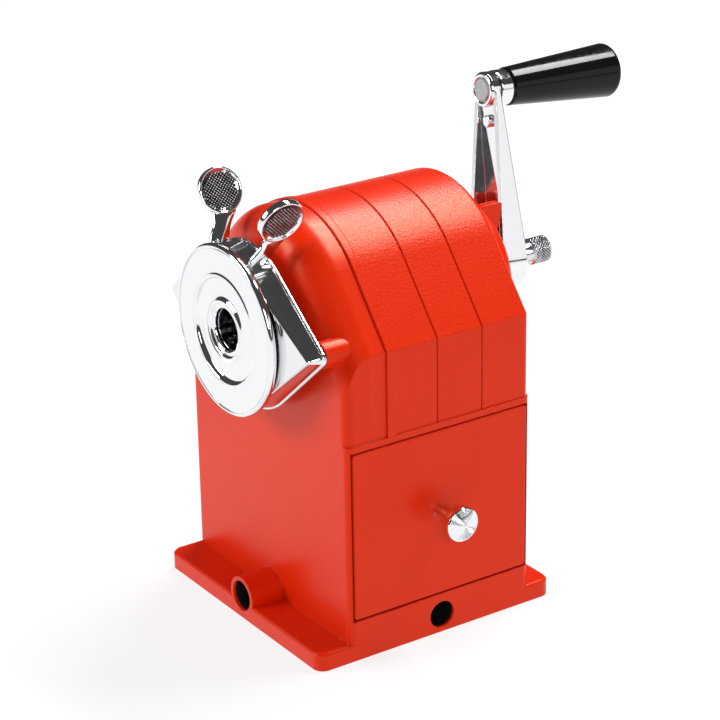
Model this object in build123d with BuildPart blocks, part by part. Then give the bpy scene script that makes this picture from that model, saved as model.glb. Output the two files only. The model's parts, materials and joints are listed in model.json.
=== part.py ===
"""Hand-cranked desk pencil sharpener: cast body, spring-fed pencil carriage, drawer.

Millimetres, +Z up. The origin is the centre of the base's underside. The pencil goes in
along +Y, the drawer pulls out along +X and the crank turns about the Y axis at the back.
"""
from build123d import *
from math import acos, cos, pi, radians, sin, sqrt, tan
import os

os.makedirs("parts", exist_ok=True)

# ---- body ----
width = 70.0                    # base and body are flush at the sides
base_depth, base_thick = 69.5, 4.5
front_flange, rear_flange = 9.0, 7.5
base_y0, base_y1 = -base_depth / 2, base_depth / 2
body_y0 = base_y0 + front_flange
body_y1 = base_y1 - rear_flange
axis_z = 76.8                   # height of the shaft, the cutter and the pencil
arch_r = 27.5                   # radius of the roof about the shaft
slant = 39.2                    # angle of the sloping shoulder's normal above horizontal
wall, front_wall, rear_wall = 2.0, 3.0, 3.0
hood_z, deck_thick = 55.8, 1.5
seam_y = body_y0 + 11.5         # joint between the front section and the hood
front_recess = 0.45             # the front section is a little smaller than the hood
corner_r, brow_r, side_r = 1.8, 8.0, 2.2
lower_back = 0.4                # the lower body stands this far behind the hood

# ---- drawer ----
bay_z0, bay_z1 = 10.3, hood_z - deck_thick
panel_gap, panel_thick = 0.5, 2.5
panel_y0, panel_y1 = body_y0 + 1.5, body_y1 - 0.8
tray_wall, tray_top = 1.2, 49.5
knob_y, knob_z = 1.1, 32.3

# ---- rod holes in the base ----
side_bore_r, side_bore_z, side_bore_len = 3.5, 4.7, 22.0
front_bore_r, front_bore_z, front_bore_len = 3.9, 5.9, 22.0
front_tube_r = 5.0

# ---- carriage ----
disc_r, disc_thick, disc_y = 21.1, 2.0, body_y0 - 11.3
plate_front, plate_back = body_y0 - 7.05, body_y0 - 2.9
lobe_x, lobe_z, lobe_r = 30.0, 0.9, 2.0
mouth_r, barrel_r, barrel_end = 5.2, 9.6, seam_y - 0.6
rod_x, rod_z, rod_r, rod_end = 28.5, axis_z + 1.0, 1.5, 15.5
fit = 0.05                      # radial running clearance
boss_r = 3.25
jaw_y0, jaw_y1 = -22.2, -16.4
jaw_in, jaw_out, jaw_wide = 2.6, 6.8, 3.2

# ---- squeeze levers ----
lever_lean = 24.6               # degrees from vertical, either side
pivot_at, pad_at, pad_r = 12.6, 32.4, 5.8
lever_thick = 2.0
lever_y0, lever_y1 = -34.7, -30.3
pad_y = body_y0 - 2.7

# ---- cutting unit ----
module, ring_teeth, pinion_teeth = 0.8, 36, 14
cutter_at = module * (ring_teeth - pinion_teeth) / 2
cutter_y0, cutter_y1 = -7.5, 15.4
gear_y0, gear_y1 = 15.8, 19.6
shaft_r = 3.5
carrier_front_r, carrier_rear_r = 15.6, 12.9

# ---- crank, in a frame that leans back from the shaft ----
crank_tilt, crank_back, crank_len = 18.0, 4.8, 42.6
crank_y = body_y0 + 73.7        # rear face of the arm on the shaft's axis
arm_hub_r, arm_tip_r, arm_sheet = 8.0, 4.5, 1.4
ferrule_r, ferrule_len, handle_dip = 4.6, 3.7, 2.2
grip_r0, grip_r1, grip_len = 4.9, 7.0, 33.6
spindle_r = 2.4


def facing_front(y, x=0.0, z=axis_z):
    """Plane at depth y whose normal points to the front, with X and Z as its axes."""
    return Plane(origin=(x, y, z), x_dir=(1, 0, 0), z_dir=(0, -1, 0))


def facing_side(x, y=0.0, z=0.0):
    """Plane at x whose normal points to +X, with Y and Z as its axes."""
    return Plane(origin=(x, y, z), x_dir=(0, 1, 0), z_dir=(1, 0, 0))


def save(name, builder):
    builder.part.label = name
    export_step(builder.part, "parts/" + name + ".step")


def house_outline(inset, z_low, mode=Mode.ADD, side_inset=None):
    """Upright sides, sloping shoulders and a round roof, drawn about the shaft's axis."""
    half, r = width / 2 - (inset if side_inset is None else side_inset), arch_r - inset
    nx, nz = cos(radians(slant)), sin(radians(slant))
    shoulder = (r - half * nx) / nz
    low = z_low - axis_z
    with BuildLine() as outline:
        Polyline((-r * nx, r * nz), (-half, shoulder), (-half, low), (half, low),
                 (half, shoulder), (r * nx, r * nz))
        ThreePointArc((r * nx, r * nz), (0, r), (-r * nx, r * nz))
    make_face(outline.edges(), mode=mode)


def gear_points(teeth, tip, root, share):
    """Involute gear polygon with a tooth on the second axis. share is tooth over pitch."""
    pitch_r = module * teeth / 2
    base_r = pitch_r * cos(radians(20))

    def spread(r):
        alpha = acos(min(1.0, base_r / r))
        return tan(alpha) - alpha

    half = pi / teeth * share + spread(pitch_r)
    low = max(root, base_r)
    radii = [low + (tip - low) * i / 4 for i in range(5)]
    flank = [(r, half - spread(r)) for r in radii]
    if root < low:
        flank = [(root, half)] + flank
    points = []
    for tooth in range(teeth):
        mid = pi / 2 - 2 * pi * tooth / teeth
        points += [(r * cos(mid + a), r * sin(mid + a)) for r, a in flank]
        points += [(r * cos(mid - a), r * sin(mid - a)) for r, a in reversed(flank)]
    return points


def plate_outline(r, tip_r):
    """The carriage plate: a round middle with a blunt point at each side."""
    with BuildLine() as outline:
        CenterArc((0, 0), r, 0, 360)
        CenterArc((lobe_x, lobe_z), tip_r, 0, 360)
        CenterArc((-lobe_x, lobe_z), tip_r, 0, 360)
    make_hull(outline.edges())


def lever_plane(side, y, along=pivot_at):
    """Plane at a lever's pivot, facing the front, whose second axis runs along the lever."""
    a = radians(lever_lean) * side
    return Plane(origin=(along * sin(a), y, axis_z + along * cos(a)),
                 x_dir=(cos(a), 0, -sin(a)), z_dir=(0, -1, 0))


# ======================= fixed body =======================
hood_screw_spots = [(-27, -7), (27, -7), (-27, 20), (27, 20)]

# Base, lower body and the front section of the upper body, in one casting.
with BuildPart() as main_casting:
    with BuildSketch(Plane.XY):
        RectangleRounded(width, base_depth, 2.8)
    extrude(amount=base_thick)
    chamfer(main_casting.faces().sort_by(Axis.Z)[-1].edges(), 0.5)
    with BuildSketch(Plane.XY):
        with Locations((0, (body_y0 + body_y1 + lower_back) / 2)):
            RectangleRounded(width, body_y1 + lower_back - body_y0, corner_r)
    extrude(amount=hood_z)
    with BuildSketch(facing_front(seam_y)):
        house_outline(front_recess, hood_z - 1.0)
    extrude(amount=seam_y - body_y0 - brow_r)
    # large rounding round the roof and shoulders that narrows into the upright corners
    for step in range(10):
        turn = pi / 2 * (1 - step / 9)
        depth, inset = brow_r * (1 - cos(turn)), brow_r * (1 - sin(turn))
        side_in = side_r - sqrt(side_r ** 2 - (side_r - depth) ** 2) if depth < side_r else 0.0
        with BuildSketch(facing_front(body_y0 + depth)):
            house_outline(front_recess + inset, hood_z - 1.0, side_inset=front_recess + side_in)
    loft()
    # hollow of the front section, stepped in behind the brow
    with BuildSketch(facing_front(seam_y)):
        house_outline(front_recess + wall, hood_z)
    extrude(amount=4.5, mode=Mode.SUBTRACT)
    with BuildSketch(facing_front(seam_y - 4)):
        house_outline(front_recess + wall + 3.0, hood_z)
    extrude(amount=seam_y - 4 - body_y0 - front_wall, mode=Mode.SUBTRACT)
    # drawer bay with its open side, and the rebate for the drawer's panel
    with BuildSketch(Plane.XY.offset(bay_z0)):
        with Locations((3.0, (body_y0 + front_wall + body_y1 - rear_wall) / 2)):
            Rectangle(width - 2 * wall + 6.0, body_y1 - body_y0 - front_wall - rear_wall)
    extrude(amount=bay_z1 - bay_z0, mode=Mode.SUBTRACT)
    with BuildSketch(facing_side(width / 2 - panel_thick - 0.1)):
        with Locations(((panel_y0 + panel_y1) / 2, (bay_z0 + bay_z1) / 2)):
            Rectangle(panel_y1 - panel_y0 + 2 * panel_gap, bay_z1 - bay_z0)
    extrude(amount=5, mode=Mode.SUBTRACT)
    # opening in the deck that lets the shavings fall into the drawer
    with BuildSketch(Plane.XY.offset(bay_z1 - 1)):
        with Locations((0, 3.5)):
            RectangleRounded(44, 34, 4)
        with Locations(*hood_screw_spots):
            Circle(1.6)
    extrude(amount=deck_thick + 2, mode=Mode.SUBTRACT)
    # room for the feed springs, bored bosses for the guide rods, hole for the chuck
    with BuildSketch(facing_front(seam_y + 1)):
        with Locations((-rod_x, rod_z - axis_z), (rod_x, rod_z - axis_z)):
            Circle(2.5)
    extrude(amount=seam_y + 1 - body_y0 - 4.5, mode=Mode.SUBTRACT)
    for side in (-1, 1):
        with BuildSketch(facing_front(body_y0 + 4.4, side * rod_x, rod_z)):
            Circle(boss_r)
        extrude(amount=7.2)
        with BuildSketch(facing_front(body_y0 + 8, side * rod_x, rod_z)):
            Circle(rod_r + fit)
        extrude(amount=12, mode=Mode.SUBTRACT)
    with BuildSketch(facing_front(body_y0 + front_wall + 1)):
        Circle(barrel_r + 0.6)
    extrude(amount=6, mode=Mode.SUBTRACT)
    # tube at the front for the rod of a table clamp
    with BuildSketch(facing_front(body_y0 + 1, 0, front_bore_z)):
        Circle(front_tube_r)
    extrude(amount=body_y0 + 1 - base_y0 - 0.1)
    # the floor is cored out from below around the two bored blocks
    with BuildSketch(Plane.XY):
        with Locations((0, (body_y0 + body_y1) / 2)):
            Rectangle(width - 8, body_y1 - body_y0 - 6)
        with Locations((width / 2 - 18.5, knob_y)):
            Rectangle(46, 12, mode=Mode.SUBTRACT)
        with Locations((0, body_y0 + 8)):
            Rectangle(14, 18, mode=Mode.SUBTRACT)
    extrude(amount=bay_z0 - 2.2, mode=Mode.SUBTRACT)
    with BuildSketch(facing_front(base_y0 + front_bore_len, 0, front_bore_z)):
        Circle(front_bore_r)
    extrude(amount=front_bore_len + 1, mode=Mode.SUBTRACT)
    with BuildSketch(facing_side(width / 2 - side_bore_len, knob_y, side_bore_z)):
        Circle(side_bore_r)
    extrude(amount=side_bore_len + 1, mode=Mode.SUBTRACT)
save("main_casting", main_casting)

# Cast hood over the cutting unit, from the seam to the back.
with BuildPart() as rear_hood:
    with BuildSketch(facing_front(body_y1)):
        house_outline(0.35, hood_z)
    extrude(amount=body_y1 - seam_y)
    back_rim = [e for e in rear_hood.edges().filter_by_position(Axis.Y, body_y1 - 0.01, body_y1 + 0.01)
                if e.center().Z > hood_z + 1]
    fillet(back_rim, 1.5)
    # raised band beside the seam
    with BuildSketch(facing_front(seam_y + 2.1)):
        house_outline(0.0, hood_z)
    extrude(amount=2.1)
    # fine grooves across the sides and roof
    for groove in (14.6, 27.6):
        with BuildSketch(facing_front(seam_y + groove)):
            house_outline(-2.0, hood_z - 1)
            house_outline(0.75, hood_z - 5, mode=Mode.SUBTRACT)
        extrude(amount=0.35, mode=Mode.SUBTRACT)
    with BuildSketch(facing_front(body_y1 - rear_wall)):
        house_outline(wall, hood_z - 1)
    extrude(amount=body_y1 - seam_y, mode=Mode.SUBTRACT)
    # bosses for the screws that come up through the deck
    with BuildSketch(Plane.XY.offset(hood_z)):
        for x, y in hood_screw_spots:
            with Locations((x + (2.5 if x > 0 else -2.5), y)):
                Rectangle(9, 7)
    extrude(amount=10)
    with BuildSketch(Plane.XY.offset(hood_z)):
        with Locations(*hood_screw_spots):
            Circle(1.25)
    extrude(amount=8.5, mode=Mode.SUBTRACT)
    # holes in the rear wall for the shaft's bush and the ring gear's screws
    with BuildSketch(facing_front(body_y1 + 1)):
        Circle(6.5)
        with PolarLocations(17.2, 3, 30):
            Circle(1.0)
    extrude(amount=6, mode=Mode.SUBTRACT)
    with BuildSketch(facing_front(body_y1)):
        with PolarLocations(17.2, 3, 30):
            Circle(1.7)
    extrude(amount=1.3, mode=Mode.SUBTRACT)
save("rear_hood", rear_hood)

with BuildPart() as hood_screws:
    with BuildSketch(Plane.XY.offset(bay_z1)):
        with Locations(*hood_screw_spots):
            Circle(2.5)
    extrude(amount=-1.7)
    with BuildSketch(Plane.XY.offset(bay_z1)):
        with Locations(*hood_screw_spots):
            Circle(1.25)
    extrude(amount=9.0)
    with BuildSketch(Plane.XY.offset(bay_z1 - 1.7)):
        with Locations(*hood_screw_spots):
            Rectangle(3.2, 0.7)
            Rectangle(0.7, 3.2)
    extrude(amount=0.8, mode=Mode.SUBTRACT)
save("hood_screws", hood_screws)

# Flanged bush pressed into the hood's rear wall.
with BuildPart() as shaft_bush:
    with BuildSketch(facing_front(body_y1 + 5.0)):
        Circle(6.5)
    extrude(amount=rear_wall + 5.0)
    with BuildSketch(facing_front(body_y1 + 0.8)):
        Circle(8.0)
    extrude(amount=0.8)
    with BuildSketch(facing_front(body_y1 + 6.0)):
        Circle(shaft_r + fit)
    extrude(amount=12, mode=Mode.SUBTRACT)
save("shaft_bush", shaft_bush)

# Cup with internal teeth at its front end, screwed to the hood's rear wall.
with BuildPart() as ring_gear:
    with BuildSketch(facing_front(body_y1 - rear_wall)):
        Circle(19.0)
        Circle(15.6, mode=Mode.SUBTRACT)
    extrude(amount=body_y1 - rear_wall - gear_y1 - 0.3)
    with BuildSketch(facing_front(gear_y1 + 0.3)):
        Circle(19.0)
        Polygon(*gear_points(ring_teeth, 15.4, 13.75, 0.56), align=None, mode=Mode.SUBTRACT)
    extrude(amount=gear_y1 - gear_y0 + 0.6)
    with BuildSketch(facing_front(body_y1 - rear_wall)):
        with PolarLocations(17.2, 3, 30):
            Circle(1.0)
    extrude(amount=4.0, mode=Mode.SUBTRACT)
save("ring_gear", ring_gear)

with BuildPart() as ring_gear_screws:
    with BuildSketch(facing_front(body_y1 - 0.5)):
        with PolarLocations(17.2, 3, 30):
            Circle(1.0)
    extrude(amount=6.3)
    with BuildSketch(facing_front(body_y1 - 0.1)):
        with PolarLocations(17.2, 3, 30):
            Circle(1.6)
    extrude(amount=1.2)
    with BuildSketch(facing_front(body_y1 - 0.1)):
        with PolarLocations(17.2, 3, 30):
            Rectangle(2.6, 0.6)
    extrude(amount=0.6, mode=Mode.SUBTRACT)
save("ring_gear_screws", ring_gear_screws)

# ======================= rear cover =======================
# Round cover over the bush, with a finger fin on top. It turns like a bayonet.
cover_y0, cover_y1 = body_y1 + 0.3, body_y1 + 9.0
with BuildPart() as rear_cover:
    with BuildSketch(facing_front(cover_y1)):
        Circle(17.4)
    extrude(amount=cover_y1 - cover_y0, taper=-8)
    fillet(rear_cover.faces().sort_by(Axis.Y)[-1].edges(), 2.4)
    with BuildSketch(facing_front(cover_y1 - 2.0)):
        Circle(15.0)
    extrude(amount=10, taper=-12, mode=Mode.SUBTRACT)
    with BuildSketch(facing_front(cover_y1 - 1.0)):
        Circle(8.6)
    extrude(amount=cover_y1 - 1.0 - body_y1 - 1.3)
    with BuildSketch(facing_side(1.4)):
        with BuildLine():
            Polyline((cover_y1 - 4, axis_z + 9.8), (cover_y1 + 5.2, axis_z + 9.8),
                     (cover_y1 + 6.3, axis_z + 16.0), (cover_y1 + 5.7, axis_z + 16.7),
                     (cover_y1 + 1.0, axis_z + 16.7), (cover_y1 - 4, axis_z + 15.5), close=True)
        make_face()
    extrude(amount=2.2)
    with BuildSketch(facing_front(cover_y1 + 1)):
        Circle(6.8)
    extrude(amount=12, mode=Mode.SUBTRACT)
save("rear_cover", rear_cover)

# ======================= carriage =======================
with BuildPart() as face_disc:
    with BuildSketch(facing_front(disc_y + disc_thick)):
        Circle(disc_r)
    extrude(amount=disc_thick)
    fillet(face_disc.faces().sort_by(Axis.Y)[0].edges(), 0.9)
    for ring in (13.25, 6.9):
        with BuildSketch(facing_front(disc_y + 0.5)):
            Circle(ring + 0.3)
            Circle(ring - 0.3, mode=Mode.SUBTRACT)
        extrude(amount=1.0, mode=Mode.SUBTRACT)
    with BuildSketch(facing_front(disc_y + 4)):
        Circle(mouth_r)
    extrude(amount=6, mode=Mode.SUBTRACT)
    chamfer(face_disc.edges().filter_by(GeomType.CIRCLE).filter_by_position(
        Axis.Y, disc_y - 0.01, disc_y + 0.01).sort_by(SortBy.RADIUS)[0], 0.5)
save("face_disc", face_disc)

# Cast plate behind the disc, with pockets for the levers and a round neck to the disc.
with BuildPart() as carriage_plate:
    disc_back = disc_y + disc_thick
    with BuildSketch(facing_front(plate_back)):
        plate_outline(20.9, lobe_r)
    extrude(amount=plate_back - disc_back)
    # the front slopes away from the drum to the thin points at the sides
    with BuildSketch(Plane.XY.offset(axis_z - 30)):
        for side in (-1, 1):
            Polygon((side * 16.2, disc_back), (side * 33, plate_front + 0.15), (side * 36, disc_back - 2),
                    (side * 16.2, disc_back - 2), align=None)
    extrude(amount=60, mode=Mode.SUBTRACT)
    chamfer([e for e in carriage_plate.edges() if e.center().Y < plate_front + 0.8
             and abs(e.center().X) > 17], 0.5)
    with BuildSketch(facing_front(plate_front + 0.5)):
        Circle(20.5)
    extrude(amount=plate_front + 0.5 - disc_back)
    for side in (-1, 1):
        # the pocket opens at the top, wider on the inner side, where the lever swings
        with BuildSketch(lever_plane(side, lever_y1 + 0.2)):
            Circle(3.1)
            Polygon((side * 1.5, 0), (side * 1.5, 14), (-side * 4.6, 14), (-side * 1.9, 0), align=None)
        extrude(amount=9, mode=Mode.SUBTRACT)
        with BuildSketch(lever_plane(side, plate_back)):
            Circle(1.0)
        extrude(amount=3, mode=Mode.SUBTRACT)
        with BuildSketch(facing_front(plate_back, side * rod_x, rod_z)):
            Circle(rod_r)
        extrude(amount=3.2, mode=Mode.SUBTRACT)
    with BuildSketch(facing_front(plate_back + 1)):
        Circle(8.0)
    extrude(amount=12, mode=Mode.SUBTRACT)
save("carriage_plate", carriage_plate)

# Barrel that holds the jaws, pressed into the plate.
with BuildPart() as chuck_barrel:
    with BuildSketch(facing_front(barrel_end)):
        Circle(barrel_r)
    extrude(amount=barrel_end - plate_back)
    with BuildSketch(facing_front(plate_back)):
        Circle(8.0)
    extrude(amount=plate_back - disc_y - disc_thick)
    with BuildSketch(facing_front(barrel_end + 1)):
        Circle(mouth_r)
    extrude(amount=30, mode=Mode.SUBTRACT)
    # wider behind the mouth, where the jaws are
    with BuildSketch(facing_front(barrel_end + 1)):
        Circle(5.7)
    extrude(amount=barrel_end + 1 - jaw_y0 + 0.6, mode=Mode.SUBTRACT)
    with BuildSketch(facing_front(jaw_y1 + 0.15)):
        with PolarLocations(7.0, 3, 90):
            Rectangle(9, jaw_wide + 0.3)
    extrude(amount=jaw_y1 - jaw_y0 + 0.3, mode=Mode.SUBTRACT)
save("chuck_barrel", chuck_barrel)

for name, angle in (("jaw_top", 90), ("jaw_left", 210), ("jaw_right", 330)):
    with BuildPart() as jaw:
        with BuildSketch(facing_front(jaw_y1)):
            with PolarLocations((jaw_in + jaw_out) / 2, 1, angle):
                Rectangle(jaw_out - jaw_in, jaw_wide)
        extrude(amount=jaw_y1 - jaw_y0)
        # gripping edge with three small teeth
        for notch in (0.9, 2.5, 4.1):
            with BuildSketch(facing_front(jaw_y1 - notch)):
                with PolarLocations(jaw_in, 1, angle):
                    Rectangle(0.7, jaw_wide + 1)
            extrude(amount=0.7, mode=Mode.SUBTRACT)
    save(name, jaw)

with BuildPart() as guide_rods:
    with BuildSketch(facing_front(rod_end)):
        with Locations((-rod_x, rod_z - axis_z), (rod_x, rod_z - axis_z)):
            Circle(rod_r)
    extrude(amount=rod_end - plate_back + 3.2)
save("guide_rods", guide_rods)

with BuildPart() as rod_stops:
    with BuildSketch(facing_front(rod_end - 0.8)):
        with Locations((-rod_x, rod_z - axis_z), (rod_x, rod_z - axis_z)):
            Circle(2.5)
            Circle(rod_r, mode=Mode.SUBTRACT)
    extrude(amount=2.0)
save("rod_stops", rod_stops)

# Springs round the rods, between the front wall and the stops, pull the carriage home.
spring_y0, spring_y1 = body_y0 + 4.9, rod_end - 3.4
with BuildPart() as feed_springs:
    for side in (-1, 1):
        with BuildLine():
            coil = Helix(2.85, spring_y1 - spring_y0, 2.0, center=(side * rod_x, spring_y0, rod_z),
                         direction=(0, 1, 0))
        with BuildSketch(Plane(origin=coil @ 0, z_dir=coil % 0)):
            Circle(0.27)
        sweep(path=coil, is_frenet=True)
save("feed_springs", feed_springs)

# ======================= squeeze levers =======================
for name, side in (("lever_left", -1), ("lever_right", 1)):
    with BuildPart() as lever:
        with BuildSketch(lever_plane(side, lever_y1)):
            Circle(2.6)
        extrude(amount=lever_y1 - lever_y0)
        # flat strap that widens into the round finger pad
        a = radians(lever_lean) * side
        out = (cos(a), 0, -sin(a))
        pad_plane = Plane(origin=(pad_at * sin(a), pad_y, axis_z + pad_at * cos(a)),
                          x_dir=(0, 1, 0), z_dir=out)
        reach = pad_at - pivot_at
        mid_y = (lever_y0 + lever_y1) / 2 - pad_y
        half_y = (lever_y1 - lever_y0) / 2
        with BuildSketch(pad_plane.offset(-lever_thick / 2)):
            Circle(pad_r)
            Polygon((mid_y - half_y, -reach), (mid_y + half_y, -reach), (mid_y + half_y, -reach + 8.6),
                    (4.6, -3.4), (-4.8, -3.2), (mid_y - half_y, -reach + 8.6), align=None)
        extrude(amount=lever_thick)
        chamfer(lever.faces().filter_by(GeomType.CYLINDER).sort_by(SortBy.AREA)[-1].edges()
                .filter_by(GeomType.CIRCLE), 0.3)
        with BuildSketch(lever_plane(side, lever_y1 + 1)):
            Circle(1.0 + fit)
        extrude(amount=8, mode=Mode.SUBTRACT)
    save(name, lever)

with BuildPart() as lever_pins:
    for side in (-1, 1):
        with BuildSketch(lever_plane(side, plate_back)):
            Circle(1.0)
        extrude(amount=plate_back - disc_y - disc_thick)
save("lever_pins", lever_pins)

# ======================= cutting unit =======================
with BuildPart() as cutter_carrier:
    with BuildSketch(facing_front(-8.3)):
        Circle(carrier_front_r)
    extrude(amount=3.0)
    with BuildSketch(facing_front(23.2)):
        Circle(carrier_rear_r)
    extrude(amount=2.8)
    with BuildSketch(facing_front(21.0)):
        with Locations((-10.0, -4.6), (10.0, -4.6), (-4.5, -10.6), (4.5, -10.6)):
            Circle(1.7)
    extrude(amount=30.0)
    with BuildSketch(facing_front(24)):
        with Locations((0, cutter_at)):
            Circle(1.5)
    extrude(amount=38, mode=Mode.SUBTRACT)
    with BuildSketch(facing_front(-5)):
        Circle(5.8)
    extrude(amount=8, mode=Mode.SUBTRACT)
    with BuildSketch(facing_front(24)):
        Circle(shaft_r)
    extrude(amount=4, mode=Mode.SUBTRACT)
save("cutter_carrier", cutter_carrier)

with BuildPart() as cutter_axle:
    with BuildSketch(facing_front(23.2)):
        with Locations((0, cutter_at)):
            Circle(1.5)
    extrude(amount=34.5)
save("cutter_axle", cutter_axle)

# Tapered cutter with helical teeth. Its lower side lies along the pencil's cone.
cutter_r0, cutter_r1, blades = cutter_at - 4.2, cutter_at - 0.5, 12


def star(r, turn):
    points = []
    for k in range(blades):
        a = 2 * pi * k / blades + turn
        points.append((r * cos(a), r * sin(a)))
        points.append((r * 0.84 * cos(a + 0.09), r * 0.84 * sin(a + 0.09)))
    return points


with BuildPart() as helical_cutter:
    for step in range(5):
        t = step / 4
        y = cutter_y1 - t * (cutter_y1 - cutter_y0)
        with BuildSketch(facing_front(y, 0, axis_z + cutter_at)):
            Polygon(*star(cutter_r1 + (cutter_r0 - cutter_r1) * t, 1.1 * t), align=None)
    loft(ruled=True)
    with BuildSketch(facing_front(cutter_y1 + 1, 0, axis_z + cutter_at)):
        Circle(1.5 + fit)
    extrude(amount=30, mode=Mode.SUBTRACT)
save("helical_cutter", helical_cutter)

with BuildPart() as cutter_pinion:
    with BuildSketch(facing_front(gear_y1, 0, axis_z + cutter_at)):
        Polygon(*gear_points(pinion_teeth, 6.25, 4.7, 0.46), align=None)
    extrude(amount=gear_y1 - gear_y0)
    with BuildSketch(facing_front(gear_y0 + 0.2, 0, axis_z + cutter_at)):
        Circle(4.0)
    extrude(amount=gear_y0 + 0.2 - cutter_y1)
    with BuildSketch(facing_front(gear_y1 + 1, 0, axis_z + cutter_at)):
        Circle(1.5 + fit)
    extrude(amount=8, mode=Mode.SUBTRACT)
save("cutter_pinion", cutter_pinion)

# Shaft from the carrier, through the bush, to the crank and the adjusting knob.
shaft_end = body_y0 + 82.8
with BuildPart() as drive_shaft:
    with BuildSketch(facing_front(crank_y - 2.2)):
        Circle(shaft_r)
    extrude(amount=crank_y - 2.2 - 20.4)
    with BuildSketch(facing_front(crank_y + 0.3)):
        Circle(2.9)
    extrude(amount=2.6)
    with BuildSketch(facing_front(shaft_end)):
        Circle(2.0)
    extrude(amount=shaft_end - crank_y + 1.0)
save("drive_shaft", drive_shaft)

with BuildPart() as crank_hub:
    with BuildSketch(facing_front(body_y1 + 12.0)):
        Circle(9.2)
    extrude(amount=2.5)
    fillet(crank_hub.edges().filter_by(GeomType.CIRCLE), 0.6)
    with BuildSketch(facing_front(crank_y - 2.6)):
        Circle(5.6)
    extrude(amount=crank_y - 2.6 - body_y1 - 5.4)
    with BuildSketch(facing_front(crank_y)):
        Circle(shaft_r)
    extrude(amount=40, mode=Mode.SUBTRACT)
save("crank_hub", crank_hub)

# ======================= crank arm and handle =======================
t, b = radians(crank_tilt), radians(crank_back)
across = Vector(cos(t), 0, sin(t))
front = Vector(0, -cos(b), 0) + Vector(-sin(t), 0, cos(t)) * sin(b)
along = Vector(0, sin(b), 0) + Vector(-sin(t), 0, cos(t)) * cos(b)
hub_point = Vector(0, crank_y, axis_z)
tip_point = hub_point + along * crank_len
handle = Vector(0, cos(radians(handle_dip)), -sin(radians(handle_dip)))


def on_arm(back, s=0.0):
    """Plane behind the arm's rear face by back, at s along the arm, facing the front."""
    return Plane(origin=hub_point - front * back + along * s, x_dir=across, z_dir=front)


def arm_outline(inset):
    with BuildLine() as outline:
        CenterArc((0, 0), arm_hub_r - inset, 0, 360)
        CenterArc((0, crank_len), arm_tip_r - inset, 0, 360)
    make_hull(outline.edges())


# Pressed channel, open to the front, whose sides get deeper towards the shaft.
with BuildPart() as crank_arm:
    with BuildSketch(on_arm(0)):
        arm_outline(0)
    extrude(amount=7.4)
    with BuildSketch(on_arm(-arm_sheet)):
        arm_outline(arm_sheet)
    extrude(amount=8, mode=Mode.SUBTRACT)
    # the open edge slopes from the hub down to the tip
    side_plane = Plane(origin=hub_point + across * 12, x_dir=front, z_dir=across * -1)
    with BuildSketch(side_plane):
        with BuildLine():
            Polyline((7.2, -12), (7.2, 2), (1.7, crank_len - 1), (1.7, crank_len + 8),
                     (9, crank_len + 8), (9, -12), close=True)
        make_face()
    extrude(amount=24, mode=Mode.SUBTRACT)
    fillet([e for e in crank_arm.edges().filter_by(GeomType.LINE)
            if abs((e.center() - hub_point).dot(front)) < 0.01], 0.5)
    with BuildSketch(on_arm(0, crank_len)):
        Circle(arm_tip_r)
    extrude(amount=2.2)
    with BuildSketch(Plane(origin=tip_point, x_dir=(1, 0, 0), z_dir=handle * -1).offset(-2)):
        Circle(1.9)
    extrude(amount=8, mode=Mode.SUBTRACT)
    with BuildSketch(on_arm(1, crank_len - 8.0)):
        Circle(1.0)
    extrude(amount=8, mode=Mode.SUBTRACT)
    with BuildSketch(facing_front(crank_y + 3)):
        Circle(2.9)
    extrude(amount=12, mode=Mode.SUBTRACT)
save("crank_arm", crank_arm)

with BuildPart() as arm_stud:
    with BuildSketch(on_arm(0.4, crank_len - 8.0)):
        Circle(1.0)
    extrude(amount=0.4 + arm_sheet)
    with BuildSketch(on_arm(-arm_sheet, crank_len - 8.0)):
        Circle(1.6)
    extrude(amount=1.2)
    fillet(arm_stud.edges().filter_by(GeomType.CIRCLE).sort_by(Axis.Y)[0], 0.5)
save("arm_stud", arm_stud)

# Spindle riveted into the arm's tip. The ferrule and grip turn on it.
ferrule_at = 0.5                # gap that clears the leaning arm


def on_tip(back):
    """Plane behind the arm's tip by back, square to the handle's axis and facing the front."""
    return Plane(origin=tip_point + handle * back, x_dir=(1, 0, 0), z_dir=handle * -1)


with BuildPart() as handle_spindle:
    with BuildSketch(on_tip(ferrule_at + ferrule_len + grip_len - 6)):
        Circle(spindle_r)
    extrude(amount=ferrule_len + grip_len - 6 + 0.1)
    with BuildSketch(on_tip(ferrule_at - 0.1)):
        Circle(1.9)
    extrude(amount=2.9)
    with BuildSketch(on_arm(-2.2, crank_len)):
        Circle(3.0)
    extrude(amount=0.7)
    chamfer(handle_spindle.edges().filter_by(GeomType.CIRCLE).sort_by(Axis.Y)[0], 0.3)
save("handle_spindle", handle_spindle)

with BuildPart() as handle_ferrule:
    with BuildSketch(on_tip(ferrule_at + ferrule_len)):
        Circle(ferrule_r)
        Circle(spindle_r + fit, mode=Mode.SUBTRACT)
    extrude(amount=ferrule_len)
    fillet(handle_ferrule.edges().filter_by(GeomType.CIRCLE).sort_by(SortBy.RADIUS)[-2:], 0.4)
save("handle_ferrule", handle_ferrule)

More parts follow.
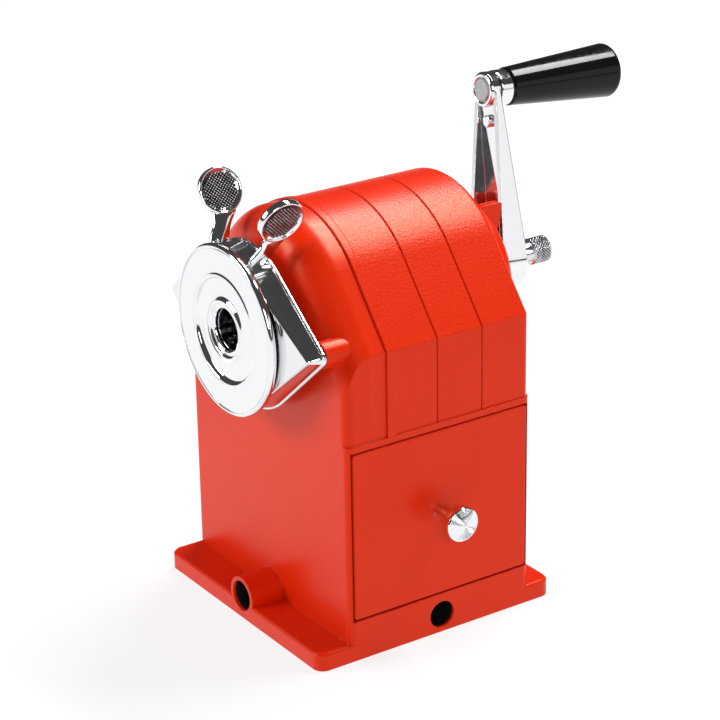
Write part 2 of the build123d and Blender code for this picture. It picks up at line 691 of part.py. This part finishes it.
with BuildPart() as handle_grip:
    with BuildSketch(Plane(origin=tip_point + handle * (ferrule_at + ferrule_len), x_dir=(1, 0, 0),
                           z_dir=Vector(1, 0, 0).cross(handle))):
        with BuildLine():
            Polyline((0, 0), (grip_r0 - 0.6, 0), (grip_r0, 0.6), (grip_r1, grip_len - 1.7))
            ThreePointArc((grip_r1, grip_len - 1.7), (grip_r1 - 0.45, grip_len - 0.65),
                          (grip_r1 - 1.5, grip_len - 0.2))
            Polyline((grip_r1 - 1.5, grip_len - 0.2), (grip_r1 - 3.8, grip_len), (0, grip_len), (0, 0))
        make_face()
    revolve(axis=Axis(origin=tip_point, direction=handle))
    with BuildSketch(on_tip(ferrule_at + ferrule_len + grip_len - 4.5)):
        Circle(spindle_r + fit)
    extrude(amount=60, mode=Mode.SUBTRACT)
save("handle_grip", handle_grip)

# Knurled knob on the shaft's end that sets how fine the point is.
with BuildPart() as adjuster_knob:
    knob_y1, knob_y0 = body_y0 + 84.8, crank_y + 0.9
    with BuildSketch(facing_front(knob_y1)):
        Circle(3.45)
    extrude(amount=5.3)
    chamfer(adjuster_knob.edges().filter_by(GeomType.CIRCLE), 0.4)
    with BuildSketch(facing_front(knob_y1 - 5.0)):
        Circle(2.9)
    extrude(amount=knob_y1 - 5.0 - knob_y0)
    with BuildSketch(facing_front(shaft_end + 0.3)):
        Circle(2.0 + fit)
    extrude(amount=30, mode=Mode.SUBTRACT)
save("adjuster_knob", adjuster_knob)

# ======================= drawer =======================
with BuildPart() as drawer_front:
    with BuildSketch(facing_side(width / 2 - panel_thick)):
        with Locations(((panel_y0 + panel_y1) / 2, (bay_z0 + bay_z1) / 2)):
            Rectangle(panel_y1 - panel_y0, bay_z1 - bay_z0 - 2 * panel_gap)
    extrude(amount=panel_thick)
    fillet(drawer_front.edges().filter_by(Axis.X), 0.8)
    fillet(drawer_front.faces().sort_by(Axis.X)[-1].edges(), 0.4)
    with BuildSketch(facing_side(width / 2 - panel_thick - 1, knob_y, knob_z)):
        Circle(1.25)
    extrude(amount=6, mode=Mode.SUBTRACT)
save("drawer_front", drawer_front)

tray_y0, tray_y1 = body_y0 + front_wall + 0.6, body_y1 - rear_wall - 0.6
tray_x0, tray_x1 = -width / 2 + wall + 0.8, width / 2 - panel_thick
with BuildPart() as drawer_tray:
    with BuildSketch(Plane.XY.offset(bay_z0 + 0.4)):
        with Locations(((tray_x0 + tray_x1) / 2, (tray_y0 + tray_y1) / 2)):
            Rectangle(tray_x1 - tray_x0, tray_y1 - tray_y0)
    extrude(amount=tray_top - bay_z0 - 0.4)
    fillet(drawer_tray.edges().filter_by(Axis.Z), 2.0)
    with BuildSketch(Plane.XY.offset(bay_z0 + 0.4 + tray_wall)):
        with Locations(((tray_x0 + tray_x1) / 2, (tray_y0 + tray_y1) / 2)):
            RectangleRounded(tray_x1 - tray_x0 - 2 * tray_wall, tray_y1 - tray_y0 - 2 * tray_wall, 1.2)
    extrude(amount=tray_top, mode=Mode.SUBTRACT)
    with BuildSketch(facing_side(tray_x1 - 5, knob_y, knob_z)):
        Circle(1.25)
    extrude(amount=8, mode=Mode.SUBTRACT)
save("drawer_tray", drawer_tray)

# Turned knob with a domed head, revolved about its own axis.
with BuildPart() as drawer_knob:
    with BuildSketch(Plane(origin=(width / 2, knob_y, knob_z), x_dir=(1, 0, 0), z_dir=(0, -1, 0))):
        with BuildLine():
            Polyline((0, 0), (0, 2.7), (0.5, 2.7), (0.8, 2.35), (5.2, 2.25), (6.0, 3.7), (6.3, 4.4),
                     (8.6, 4.4), (8.9, 4.2), (8.9, 3.8), (9.3, 3.6))
            ThreePointArc((9.3, 3.6), (10.4, 2.2), (10.9, 0.6))
            Polyline((10.9, 0.6), (10.9, 0), (0, 0))
        make_face()
    revolve(axis=Axis(origin=(0, knob_y, knob_z), direction=(1, 0, 0)))
    with BuildSketch(facing_side(width / 2 - 1, knob_y, knob_z)):
        Circle(1.25)
    extrude(amount=6, mode=Mode.SUBTRACT)
save("drawer_knob", drawer_knob)

with BuildPart() as drawer_knob_screw:
    with BuildSketch(facing_side(tray_x1 - tray_wall, knob_y, knob_z)):
        Circle(1.25)
    extrude(amount=tray_wall + panel_thick + 4.6)
    with BuildSketch(facing_side(tray_x1 - tray_wall, knob_y, knob_z)):
        Circle(2.5)
    extrude(amount=-1.8)
    with BuildSketch(facing_side(tray_x1 - tray_wall - 1.8, knob_y, knob_z)):
        Rectangle(3.2, 0.7)
        Rectangle(0.7, 3.2)
    extrude(amount=0.8, mode=Mode.SUBTRACT)
save("drawer_knob_screw", drawer_knob_screw)
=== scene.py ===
"""Desk pencil sharpener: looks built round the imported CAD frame. Metres, row frame, +Z up."""
import json
import math
import bmesh
import bpy
from mathutils import Matrix, Vector


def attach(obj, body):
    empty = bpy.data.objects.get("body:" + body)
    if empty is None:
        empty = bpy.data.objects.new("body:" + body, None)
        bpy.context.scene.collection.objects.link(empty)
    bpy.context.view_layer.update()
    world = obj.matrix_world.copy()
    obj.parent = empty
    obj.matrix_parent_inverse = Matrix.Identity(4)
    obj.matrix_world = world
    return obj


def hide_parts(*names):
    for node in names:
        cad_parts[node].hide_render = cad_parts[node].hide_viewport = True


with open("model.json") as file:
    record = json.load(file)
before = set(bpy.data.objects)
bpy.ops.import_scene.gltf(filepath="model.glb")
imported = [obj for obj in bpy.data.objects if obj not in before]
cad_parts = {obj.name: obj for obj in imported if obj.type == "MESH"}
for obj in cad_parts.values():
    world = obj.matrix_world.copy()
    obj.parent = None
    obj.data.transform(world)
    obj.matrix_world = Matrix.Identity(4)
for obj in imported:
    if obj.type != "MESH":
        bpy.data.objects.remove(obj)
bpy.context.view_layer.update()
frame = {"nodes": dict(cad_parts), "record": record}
record = frame["record"]
nodes = frame["nodes"]
MM = 0.001


# ------------------------------------------------------------------ materials
class Mat:
    """A small builder for node materials round one Principled shader."""

    def __init__(self, name, color, metallic=0.0, rough=0.4, **sockets):
        self.mat = bpy.data.materials.new(name)
        self.mat.use_nodes = True
        self.nt = self.mat.node_tree
        self.p = self.nt.nodes["Principled BSDF"]
        self.p.inputs["Base Color"].default_value = (*color, 1.0)
        self.p.inputs["Metallic"].default_value = metallic
        self.p.inputs["Roughness"].default_value = rough
        for key, value in sockets.items():
            self.p.inputs[key.replace("_", " ")].default_value = value
        self.coord = self.nt.nodes.new("ShaderNodeTexCoord").outputs["Object"]
        self.normal = None

    def new(self, kind, **props):
        n = self.nt.nodes.new(kind)
        for k, v in props.items():
            setattr(n, k, v)
        return n

    def link(self, a, b):
        self.nt.links.new(a, b)

    def noise(self, scale, detail=2.0, rough=0.5, stretch=(1, 1, 1)):
        m = self.new("ShaderNodeMapping")
        m.inputs["Scale"].default_value = stretch
        self.link(self.coord, m.inputs["Vector"])
        n = self.new("ShaderNodeTexNoise")
        n.inputs["Scale"].default_value = scale
        n.inputs["Detail"].default_value = detail
        n.inputs["Roughness"].default_value = rough
        self.link(m.outputs[0], n.inputs["Vector"])
        return n.outputs["Fac"]

    def ramp(self, fac, low, high, a=0.35, b=0.65):
        r = self.new("ShaderNodeMapRange")
        r.inputs["From Min"].default_value = a
        r.inputs["From Max"].default_value = b
        r.inputs["To Min"].default_value = low
        r.inputs["To Max"].default_value = high
        self.link(fac, r.inputs["Value"])
        return r.outputs["Result"]

    def roughness(self, fac, low, high):
        self.link(self.ramp(fac, low, high), self.p.inputs["Roughness"])

    def tint(self, fac, a, b):
        m = self.new("ShaderNodeMix", data_type="RGBA")
        m.inputs["A"].default_value = (*a, 1)
        m.inputs["B"].default_value = (*b, 1)
        self.link(fac, m.inputs["Factor"])
        self.link(m.outputs["Result"], self.p.inputs["Base Color"])

    def bump(self, height, distance, strength=1.0):
        n = self.new("ShaderNodeBump")
        n.inputs["Distance"].default_value = distance
        n.inputs["Strength"].default_value = strength
        self.link(height, n.inputs["Height"])
        if self.normal:
            self.link(self.normal, n.inputs["Normal"])
        self.normal = n.outputs["Normal"]
        self.link(self.normal, self.p.inputs["Normal"])

    def soft_edges(self, radius):
        n = self.new("ShaderNodeBevel", samples=6)
        n.inputs["Radius"].default_value = radius
        self.normal = n.outputs["Normal"]
        self.link(self.normal, self.p.inputs["Normal"])


def paint(name, grain, rough):
    m = Mat(name, RED, rough=rough)
    m.p.inputs["Specular IOR Level"].default_value = 0.40
    m.p.inputs["Specular Tint"].default_value = (1.0, 0.52, 0.30, 1.0)
    m.soft_edges(0.45 * MM)
    fine = m.noise(2400, 3, 0.6)
    m.tint(m.noise(60, 2), tuple(c * 0.95 for c in RED), tuple(c * 1.04 for c in RED))
    m.roughness(fine, rough - 0.04, rough + 0.07)
    if grain:
        cells = m.new("ShaderNodeTexVoronoi", feature="SMOOTH_F1")
        cells.inputs["Scale"].default_value = 1900
        m.link(m.coord, cells.inputs["Vector"])
        m.bump(cells.outputs["Distance"], 0.07 * MM, grain)
    m.bump(fine, 0.03 * MM, 0.22 + grain * 0.4)
    return m.mat


RED = (0.70, 0.020, 0.001)
# Near-black colour painted on the bore walls as shade
BORE_SHADE = (0.012, 0.011, 0.011, 1.0)
red_smooth = paint("enamel_satin", 0.0, 0.31)
red_grain = paint("enamel_grained", 0.6, 0.32)


def paint_bore_shade(mat, centre, inward, r, length):
    """Paint near-black shade on the wall of a blind hole, standing in for the shade deep inside
    it: centre is on its axis, just behind its mouth.
    """
    tree = mat.node_tree
    base = next(n for n in tree.nodes if n.type == "BSDF_PRINCIPLED").inputs["Base Color"]
    painted = base.links[0].from_socket

    def step(kind, operation, source, *values):
        node = tree.nodes.new(kind)
        node.operation = operation
        tree.links.new(source, node.inputs[0])
        for i, value in enumerate(values, 1):
            node.inputs[i].default_value = value
        return node.outputs["Value" if operation in ("LENGTH", "DOT_PRODUCT") else 0]

    coord = tree.nodes.new("ShaderNodeTexCoord").outputs["Object"]
    offset = step("ShaderNodeVectorMath", "SUBTRACT", coord, centre)
    flat = step("ShaderNodeVectorMath", "MULTIPLY", offset, [1.0 - abs(c) for c in inward])
    near = step("ShaderNodeMath", "LESS_THAN", step("ShaderNodeVectorMath", "LENGTH", flat), r)
    depth = step("ShaderNodeVectorMath", "DOT_PRODUCT", offset, inward)
    inside = step("ShaderNodeMath", "COMPARE", depth, length / 2, length / 2)
    both = tree.nodes.new("ShaderNodeMath")
    both.operation = "MULTIPLY"
    tree.links.new(near, both.inputs[0])
    tree.links.new(inside, both.inputs[1])
    mix = tree.nodes.new("ShaderNodeMix")
    mix.data_type = "RGBA"
    tree.links.new(both.outputs[0], mix.inputs[0])
    tree.links.new(painted, mix.inputs[6])
    mix.inputs[7].default_value = BORE_SHADE
    tree.links.new(mix.outputs[2], base)


# Painted shade: the walls of the front and side bores are coloured near black.
paint_bore_shade(red_smooth, (0, -33.9 * MM, 5.9 * MM), (0, 1, 0), 3.95 * MM, 22 * MM)
paint_bore_shade(red_smooth, (34.2 * MM, 1.1 * MM, 4.7 * MM), (-1, 0, 0), 3.55 * MM, 22 * MM)


def plated(name, color, rough, wave=0.15, edges=0.22):
    m = Mat(name, color, metallic=1.0, rough=rough)
    if edges:
        m.soft_edges(edges * MM)
    m.roughness(m.noise(700, 3), rough * 0.7, rough * 1.4)
    m.bump(m.noise(80, 2), 0.05 * MM, wave)
    return m.mat


chrome = plated("chrome_polished", (0.84, 0.85, 0.87), 0.06, 0.2)
chrome_knurl = plated("chrome_knurled", (0.70, 0.71, 0.73), 0.16, 0.1, 0)
# Knurl tips and valleys: a lighter and a near-black copy of the chrome, as painted highlight and
# painted shade.
knurl_tip_highlight = plated("knurl_tips_painted_highlight", (0.95, 0.95, 0.96), 0.42, 0.1, 0)
knurl_valley_shade = plated("knurl_valleys_painted_shade", (0.07, 0.075, 0.08), 0.42, 0.1, 0)
chrome_turned = plated("chrome_turned", (0.84, 0.85, 0.87), 0.06, 0.15, 0)
chrome_cast = plated("chrome_on_casting", (0.78, 0.79, 0.80), 0.10, 0.9, 0.35)

m = Mat("steel_ground", (0.56, 0.57, 0.59), metallic=1.0, rough=0.3)
m.roughness(m.noise(900, 2, stretch=(1, 8, 1)), 0.2, 0.4)
m.bump(m.noise(1500, 2, stretch=(1, 8, 1)), 0.02 * MM, 0.3)
steel = m.mat

m = Mat("steel_peened", (0.42, 0.42, 0.43), metallic=1.0, rough=0.5)
m.bump(m.noise(2400, 4, 0.7), 0.10 * MM, 0.8)
m.tint(m.noise(1400, 3), (0.26, 0.26, 0.27), (0.62, 0.62, 0.63))
peened = m.mat

m = Mat("cast_dark", (0.20, 0.20, 0.21), metallic=0.8, rough=0.55)
m.bump(m.noise(1200, 4), 0.08 * MM, 0.5)
m.tint(m.noise(80, 2), (0.16, 0.16, 0.17), (0.26, 0.26, 0.27))
cast_dark = m.mat

m = Mat("brass_turned", (0.75, 0.55, 0.24), metallic=1.0, rough=0.28)
m.roughness(m.noise(1000, 2, stretch=(1, 12, 1)), 0.2, 0.38)
brass = m.mat

m = Mat("grip_black", (0.006, 0.006, 0.007), rough=0.08)
m.p.inputs["Specular IOR Level"].default_value = 0.19
m.roughness(m.noise(500, 2), 0.06, 0.11)
m.bump(m.noise(160, 1), 0.03 * MM, 0.08)
grip_black = m.mat

m = Mat("tray_moulded", (0.035, 0.035, 0.038), rough=0.5)
m.roughness(m.noise(900, 2), 0.42, 0.58)
m.bump(m.noise(2200, 3), 0.03 * MM, 0.4)
tray_black = m.mat

by_slot = {
    "red_enamel": red_smooth, "red_grain_enamel": red_grain, "chrome_plate": chrome,
    "ground_steel": steel, "zinc_steel": steel, "spring_steel": steel, "tool_steel": steel,
    "gear_steel": steel, "cast_carrier": cast_dark, "bearing_brass": brass,
    "black_grip": grip_black, "tray_plastic": tray_black,
}
for entry in record["subparts"]:
    o = nodes[entry["node"]]
    o.data.materials.clear()
    o.data.materials.append(by_slot[entry["material_slot"]])

nodes["carriage_plate"].data.materials[0] = chrome_cast
nodes["main_casting"].data.materials[0] = red_smooth


# ------------------------------------------------------------------ detail pieces
def add(name, verts, faces, material, body, smooth=True):
    """A mesh piece given in millimetres of the row frame."""
    mesh = bpy.data.meshes.new(name)
    mesh.from_pydata([tuple(c * MM for c in v) for v in verts], [], faces)
    mesh.update()
    bm = bmesh.new()
    bm.from_mesh(mesh)
    bmesh.ops.recalc_face_normals(bm, faces=bm.faces)
    bm.to_mesh(mesh)
    bm.free()
    for f in mesh.polygons:
        f.use_smooth = smooth
    mesh.materials.append(material)
    o = bpy.data.objects.new(name, mesh)
    bpy.context.collection.objects.link(o)
    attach(o, body)
    return o


def basis(origin, axis, start):
    """Centre, axis and two directions across it, all unit vectors in millimetre space."""
    a = Vector(axis).normalized()
    u = (Vector(start) - a * Vector(start).dot(a)).normalized()
    return Vector(origin), a, u, a.cross(u)


def skin(rings, around):
    """Faces that join closed rings of points, one ring to the next."""
    faces = []
    for i in range(rings - 1):
        low, high = i * around, (i + 1) * around
        for k in range(around):
            n = (k + 1) % around
            faces.append((low + k, low + n, high + n, high + k))
    return faces


def turned(name, profile, place, material, body, around=128, ripple=None, sharp=35):
    """A turned piece: profile is (radius, distance along the axis) from end to end."""
    c, a, u, v = place
    verts = []
    for r, d in profile:
        for k in range(around):
            t = 2 * math.pi * k / around
            rr = r + (ripple(d, t) if ripple else 0.0)
            verts.append(c + a * d + (u * math.cos(t) + v * math.sin(t)) * rr)
    faces = skin(len(profile), around)
    for ring in (0, len(profile) - 1):
        if profile[ring][0] > 0.001 and profile[0] != profile[-1]:
            faces.append([ring * around + k for k in range(around)])
    o = add(name, verts, faces, material, body)
    o.data.shade_smooth()
    m = o.modifiers.new("edges", "EDGE_SPLIT")
    m.split_angle = math.radians(sharp)
    return o


# Face disc: a closed turned profile with a rolled rim, two stepped rings and a lip at the mouth.
front_y, back_y, shaft_z = -37.05, -35.05, 76.8
disc_place = basis((0, back_y, shaft_z), (0, -1, 0), (1, 0, 0))
rim = [(20.25 + 0.85 * math.sin(math.radians(t)), 1.15 + 0.85 * math.cos(math.radians(t)))
       for t in (90, 70, 50, 30, 10)]
disc = turned("face_disc_turned", [
    (5.25, 0.0), (20.2, 0.0), (20.6, 0.15), (21.0, 0.4), *rim, (20.2, 1.96), (20.12, 1.60),
    (19.9, 1.58), (19.8, 1.84), (19.3, 1.80), (17.0, 1.70), (14.4, 1.66),
    (13.95, 1.74), (13.7, 1.92), (13.4, 1.97),
    (13.1, 1.88), (12.9, 1.50), (12.7, 1.05), (12.3, 0.86), (11.4, 0.78), (9.8, 0.84),
    (8.4, 1.00),
    (7.9, 1.15), (7.55, 1.45), (7.2, 1.66), (6.85, 1.66), (6.6, 1.42), (6.45, 1.10), (6.2, 1.02),
    (5.8, 1.22), (5.55, 1.22), (5.35, 1.0), (5.25, 0.7), (5.25, 0.0)],
    disc_place, chrome_turned, "carriage", around=160, sharp=60)
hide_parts("face_disc")


# Carriage plate: a round middle with a blunt point at each side, a lip at its back edge and
# sloping walls. The front falls away from the drum to the two points.
def hull_outline():
    """Outline points (x, z) of the plate about the shaft's axis, going round once."""
    lobe, big, small, shift = Vector((30.0, 0.9)), 20.9, 2.0, math.atan2(0.9, 30.0)
    beta = math.acos((big - small) / lobe.length)
    points = []
    for side in (1, -1):
        c = Vector((lobe.x * side, lobe.y))
        base = shift if side > 0 else math.pi - shift
        points += [c + small * Vector((math.cos(base + a), math.sin(base + a)))
                   for a in (beta * (k / 6 - 1) for k in range(13))]
        if side > 0:
            start, end = base + beta, math.pi - shift - beta
        else:
            start, end = base + beta, 2 * math.pi + shift - beta
        points += [big * Vector((math.cos(a), math.sin(a)))
                   for a in (start + (end - start) * k / 36 for k in range(37))]
    dense = []
    for k, q in enumerate(points):
        nxt = points[(k + 1) % len(points)]
        cuts = max(1, int((nxt - q).length / 1.2))
        dense += [q.lerp(nxt, c / cuts) for c in range(cuts)]
    return dense


def inset_outline(points, d):
    out = []
    for k, q in enumerate(points):
        t = (points[(k + 1) % len(points)] - points[k - 1]).normalized()
        out.append(q - Vector((t.y, -t.x)) * d)
    return out


edge = hull_outline()
plate_back, plate_front = -28.66, -35.02
bore_r, drum_r = 8.6, 17.5
fall_start, fall_run, fall_depth = 16.2, 16.8, 2.2
verts = []
# distance in from the outline and share of the depth, but the first is the bore at the back
levels = [(bore_r, 0.0), (0.35, 0.0), (0.08, 0.06), (0.0, 0.14), (0.0, 0.78), (0.08, 0.92),
          (0.45, 1.0), (0.60, 1.12), (1.30, 0.86), (1.42, 0.94), (1.75, 1.0), (2.2, 1.0)]
for depth, (d, along_y) in enumerate(levels):
    for q in inset_outline(edge, min(d, 1.9) if d < 8 else 0.9):
        fall = min(1.0, max(0.0, (abs(q.x) - fall_start) / fall_run))
        face_y = plate_front + fall_depth * fall
        y = plate_back - along_y if depth < 8 else plate_back + (face_y - plate_back) * along_y
        x, z = (q.x, q.y) if d < 8 else tuple(q * (bore_r / q.length))
        verts.append((x, y, shaft_z + z))
count = len(edge)
for q in edge:
    drum = q * (drum_r / q.length)
    verts.append((drum.x, plate_front, shaft_z + drum.y))
faces = skin(len(levels) + 1, count)
plate = add("carriage_plate_cast", verts, faces, chrome_cast, "carriage")
plate.data.shade_smooth()
plate.modifiers.new("edges", "EDGE_SPLIT").split_angle = math.radians(48)
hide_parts("carriage_plate")


# Squeeze levers: knurled round pads with a smooth rim, on straps that narrow at the neck.
def lever(name, side, body):
    lean = math.radians(24.6) * side
    along = Vector((math.sin(lean), 0, math.cos(lean)))
    out = Vector((math.cos(lean), 0, -math.sin(lean)))
    across = Vector((0, 1, 0))
    pad = Vector((0, -28.45, shaft_z)) + along * 32.4
    place = (pad, out, across, along)
    turned(name + "_pad", [
        (0.0, -0.52), (4.95, -0.55), (5.1, -0.80), (5.3, -0.97), (5.5, -0.98), (5.68, -0.86),
        (5.79, -0.55), (5.8, 0.0), (5.79, 0.55), (5.68, 0.86), (5.5, 0.98), (5.3, 0.97),
        (5.1, 0.80), (4.95, 0.55), (0.0, 0.52)],
        place, chrome_turned, body, around=96, sharp=75)
    # knurled faces: a diagonal lattice of small pyramids; their sloping sides take the near-black
    # chrome as painted shade, their flat tops the lighter chrome as painted highlight
    pitch, reach, knurl_r, flat, tall = 0.92, 12, 4.42, 0.45, 0.34
    for face in (1, -1):
        verts, faces = [], []
        for i in range(-reach, reach + 1):
            for j in range(-reach, reach + 1):
                p, q = (i + j) * pitch * 0.5, (i - j) * pitch * 0.5
                if math.hypot(p, q) > knurl_r:
                    continue
                h = pitch * 0.5
                base = len(verts)
                centre = pad + out * face * 0.55
                for a, b, z in ((p + h, q, 0), (p, q + h, 0), (p - h, q, 0), (p, q - h, 0),
                                (p + h * flat, q, tall), (p, q + h * flat, tall),
                                (p - h * flat, q, tall), (p, q - h * flat, tall)):
                    verts.append(centre + across * a + along * b + out * face * z)
                for k in range(4):
                    n = (k + 1) % 4
                    faces.append((base + k, base + n, base + 4 + n, base + 4 + k))
                faces.append((base + 4, base + 5, base + 6, base + 7))
        o = add(name + ("_knurl_out" if face > 0 else "_knurl_in"), verts, faces, knurl_valley_shade,
                body, smooth=False)
        o.data.materials.append(knurl_tip_highlight)
        for f in o.data.polygons:
            f.material_index = f.index % 5 // 4
    # strap: rounded section that runs from the pivot barrel up into the pad's rim
    verts, around = [], 16
    stations = [(-20.2, -4.05, 2.15, 0.98), (-17.5, -4.05, 2.15, 0.98), (-13.2, -4.0, 2.15, 0.98),
                (-11.6, -3.6, 2.6, 1.0), (-10.2, -3.0, 2.75, 1.0), (-8.8, -2.2, 2.55, 0.95),
                (-7.6, -1.4, 2.5, 0.9), (-6.4, -0.7, 2.8, 0.86), (-5.4, -0.2, 3.2, 0.80),
                (-4.8, 0.0, 3.0, 0.50)]
    for d, mid, w, t in stations:
        for k in range(around):
            a = 2 * math.pi * k / around
            cx, cy = math.cos(a), math.sin(a)
            cx = math.copysign(abs(cx) ** 0.7, cx)
            cy = math.copysign(abs(cy) ** 0.6, cy)
            verts.append(pad + along * d + across * (mid + w * cx) + out * (t * cy))
    last = (len(stations) - 1) * around
    faces = skin(len(stations), around)
    faces += [list(range(around)), [last + k for k in range(around)]]
    o = add(name + "_strap", verts, faces, chrome_turned, body)
    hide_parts(name)
    # pivot barrel with its bore
    pivot = basis(Vector((0, -34.7, shaft_z)) + along * 12.6, (0, 1, 0), (1, 0, 0))
    o = turned(name + "_barrel", [
        (1.05, 0.0), (2.35, 0.0), (2.6, 0.25), (2.6, 4.15), (2.35, 4.4), (1.05, 4.4), (1.05, 0.0)],
        pivot, chrome_turned, body, around=48)


lever("lever_right", 1, "lever_right")
lever("lever_left", -1, "lever_left")

# Adjusting knob: diamond knurl cut by two crossing spirals, chamfered ends, smooth neck.
knurl_start, knurl_end, starts, lead, valley_r = 5.15, 9.75, 26, 0.82, 3.34


def knurl(d, t):
    if not knurl_start < d < knurl_end:
        return 0.0
    a = starts * t
    w = 2 * math.pi * d / lead
    one, two = abs(math.sin((a + w) / 2)), abs(math.sin((a - w) / 2))
    return -0.24 * (1 - min(one, two) ** 0.8)


neck = 48.85
turning = [(5.0 + i * 0.1) for i in range(1, 49)]
knob = turned("adjuster_knob_knurled", [
    (2.05, 0.0), (2.7, 0.0), (2.9, 0.2), (2.9, 4.88), (3.05, 4.92), (3.42, 5.06),
    *[(3.45, d) for d in turning], (3.38, 9.95), (3.05, 10.18), (2.6, 10.2), (2.4, 10.05),
    (0.0, 10.05)],
    basis((0, neck, shaft_z), (0, 1, 0), (1, 0, 0)), chrome_knurl, "adjuster", around=208,
    ripple=knurl, sharp=80)
# Painted shade: faces down in the knurl's valleys, inside valley_r, take the near-black copy of
# the chrome.
knob.data.materials.append(knurl_valley_shade)
for f in knob.data.polygons:
    d = f.center.y / MM - neck
    r = math.hypot(f.center.x, f.center.z - shaft_z * MM) / MM
    f.material_index = int(knurl_start < d < knurl_end and r < valley_r)
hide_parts("adjuster_knob")

# Collar round the spindle's peened head on the crank arm's tip.
lean, tilt = math.radians(4.8), math.radians(18.0)
arm_up = Vector((
    -math.sin(tilt) * math.cos(lean), math.sin(lean), math.cos(tilt) * math.cos(lean)))
arm_front = Vector((
    -math.sin(tilt) * math.sin(lean), -math.cos(lean), math.cos(tilt) * math.sin(lean)))
tip = Vector((0, 47.95, shaft_z)) + arm_up * 42.6
collar = turned("arm_tip_collar", [
    (3.15, 2.1), (3.15, 2.45), (3.3, 2.7), (3.6, 2.82), (4.0, 2.78), (4.3, 2.6), (4.46, 2.3),
    (4.48, 2.1), (3.15, 2.1)], basis(tip, arm_front, (1, 0, 0)),
    chrome_turned, "cutting_unit", around=72, sharp=70)
nodes["handle_spindle"].data.materials[0] = peened

# Drawer knob: flared stem, cylindrical head, fine turning rings on the domed face.
crown, crown_r, crown_base, crown_rise, ring_cut, steps = [], 3.9, 8.95, 0.95, 0.07, 60
for i in range(steps + 1):
    r = crown_r * (1 - i / steps)
    height = crown_base + crown_rise * (1 - (r / crown_r) ** 2)
    crown.append((r, height - (ring_cut if i % 5 == 0 and i < steps else 0.0)))
knob = turned("drawer_knob_turned", [
    (0.0, 0.0), (2.5, 0.0), (2.5, 0.25), (2.42, 0.5), (2.36, 0.95), (2.3, 2.5), (2.25, 4.6),
    (2.4, 5.1),
    (2.9, 5.5), (3.7, 5.85), (4.2, 6.1), (4.38, 6.4), (4.4, 8.35), (4.32, 8.65),
    (4.12, 8.85), (3.95, 8.88),
    *crown], basis((35, 1.1, 32.3), (1, 0, 0), (0, 1, 0)), chrome_turned, "drawer",
    around=96, sharp=40)
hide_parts("drawer_knob")


# ------------------------------------------------------------------ set and camera
def quad(name, size, place, material):
    mesh = bpy.data.meshes.new(name)
    s = size / 2
    mesh.from_pydata([(-s, -s, 0), (s, -s, 0), (s, s, 0), (-s, s, 0)], [], [(0, 1, 2, 3)])
    mesh.materials.append(material)
    o = bpy.data.objects.new(name, mesh)
    o.location = place
    bpy.context.collection.objects.link(o)
    return o


m = Mat("floor_pale", (0.22, 0.22, 0.22), rough=0.8)
m.p.inputs["Specular IOR Level"].default_value = 0.05
m.tint(m.noise(3, 2), (0.22, 0.22, 0.22), (0.23, 0.23, 0.23))
m.p.inputs["Emission Color"].default_value = (1, 1, 1, 1)
m.p.inputs["Emission Strength"].default_value = 0.78
quad("floor", 6.0, (0, 0, -0.0002), m.mat)

scene = bpy.context.scene
scene.view_settings.view_transform = "Standard"

azimuth, elevation, roll = map(math.radians, (56.11, 22.42, -0.97))
back = Vector((math.sin(azimuth) * math.cos(elevation),
               -math.cos(azimuth) * math.cos(elevation), math.sin(elevation)))
side = Vector((math.cos(azimuth), math.sin(azimuth), 0))
up = back.cross(side)
cam_x = side * math.cos(roll) + up * math.sin(roll)
cam_y = up * math.cos(roll) - side * math.sin(roll)
aim = Vector((0, 1.25, 60)) * MM
distance, shift_x, shift_y = 615, 0.42, 0.02
place = aim + (back * distance + cam_x * shift_x + cam_y * shift_y) * MM
camera = bpy.data.cameras.new("camera")
camera.lens = 125
camera.sensor_width = 36
camera.clip_start = 0.01
cam = bpy.data.objects.new("camera", camera)
cam.matrix_world = Matrix((
    (cam_x.x, cam_y.x, back.x, place.x),
    (cam_x.y, cam_y.y, back.y, place.y),
    (cam_x.z, cam_y.z, back.z, place.z),
    (0, 0, 0, 1)))
bpy.context.collection.objects.link(cam)
scene.camera = cam


def softbox(name, place, target, size, power, size_y=None):
    light = bpy.data.lights.new(name, "AREA")
    light.shape = "RECTANGLE"
    light.size, light.size_y = size, size_y or size
    light.energy = power
    o = bpy.data.objects.new(name, light)
    o.location = place
    o.rotation_euler = (Vector(target) - Vector(place)).to_track_quat("-Z", "Y").to_euler()
    bpy.context.collection.objects.link(o)
    return o


centre = (0, 0, 0.07)
softbox("key_top", (-0.07, 0.515, 0.925), centre, 0.76, 13.5, 0.20)
softbox("front_left", (-0.55, -0.95, 0.55), centre, 0.5, 8.5)
softbox("right_fill", (1.0, -0.40, 0.55), centre, 0.45, 4.6)
softbox("back_card", (1.05, 0.72, 0.36), centre, 1.0, 1.4, 0.46)

world = bpy.data.worlds.new("studio")
world.use_nodes = True
world.node_tree.nodes["Background"].inputs["Color"].default_value = (1, 1, 1, 1)
world.node_tree.nodes["Background"].inputs["Strength"].default_value = 0.06
scene.world = world
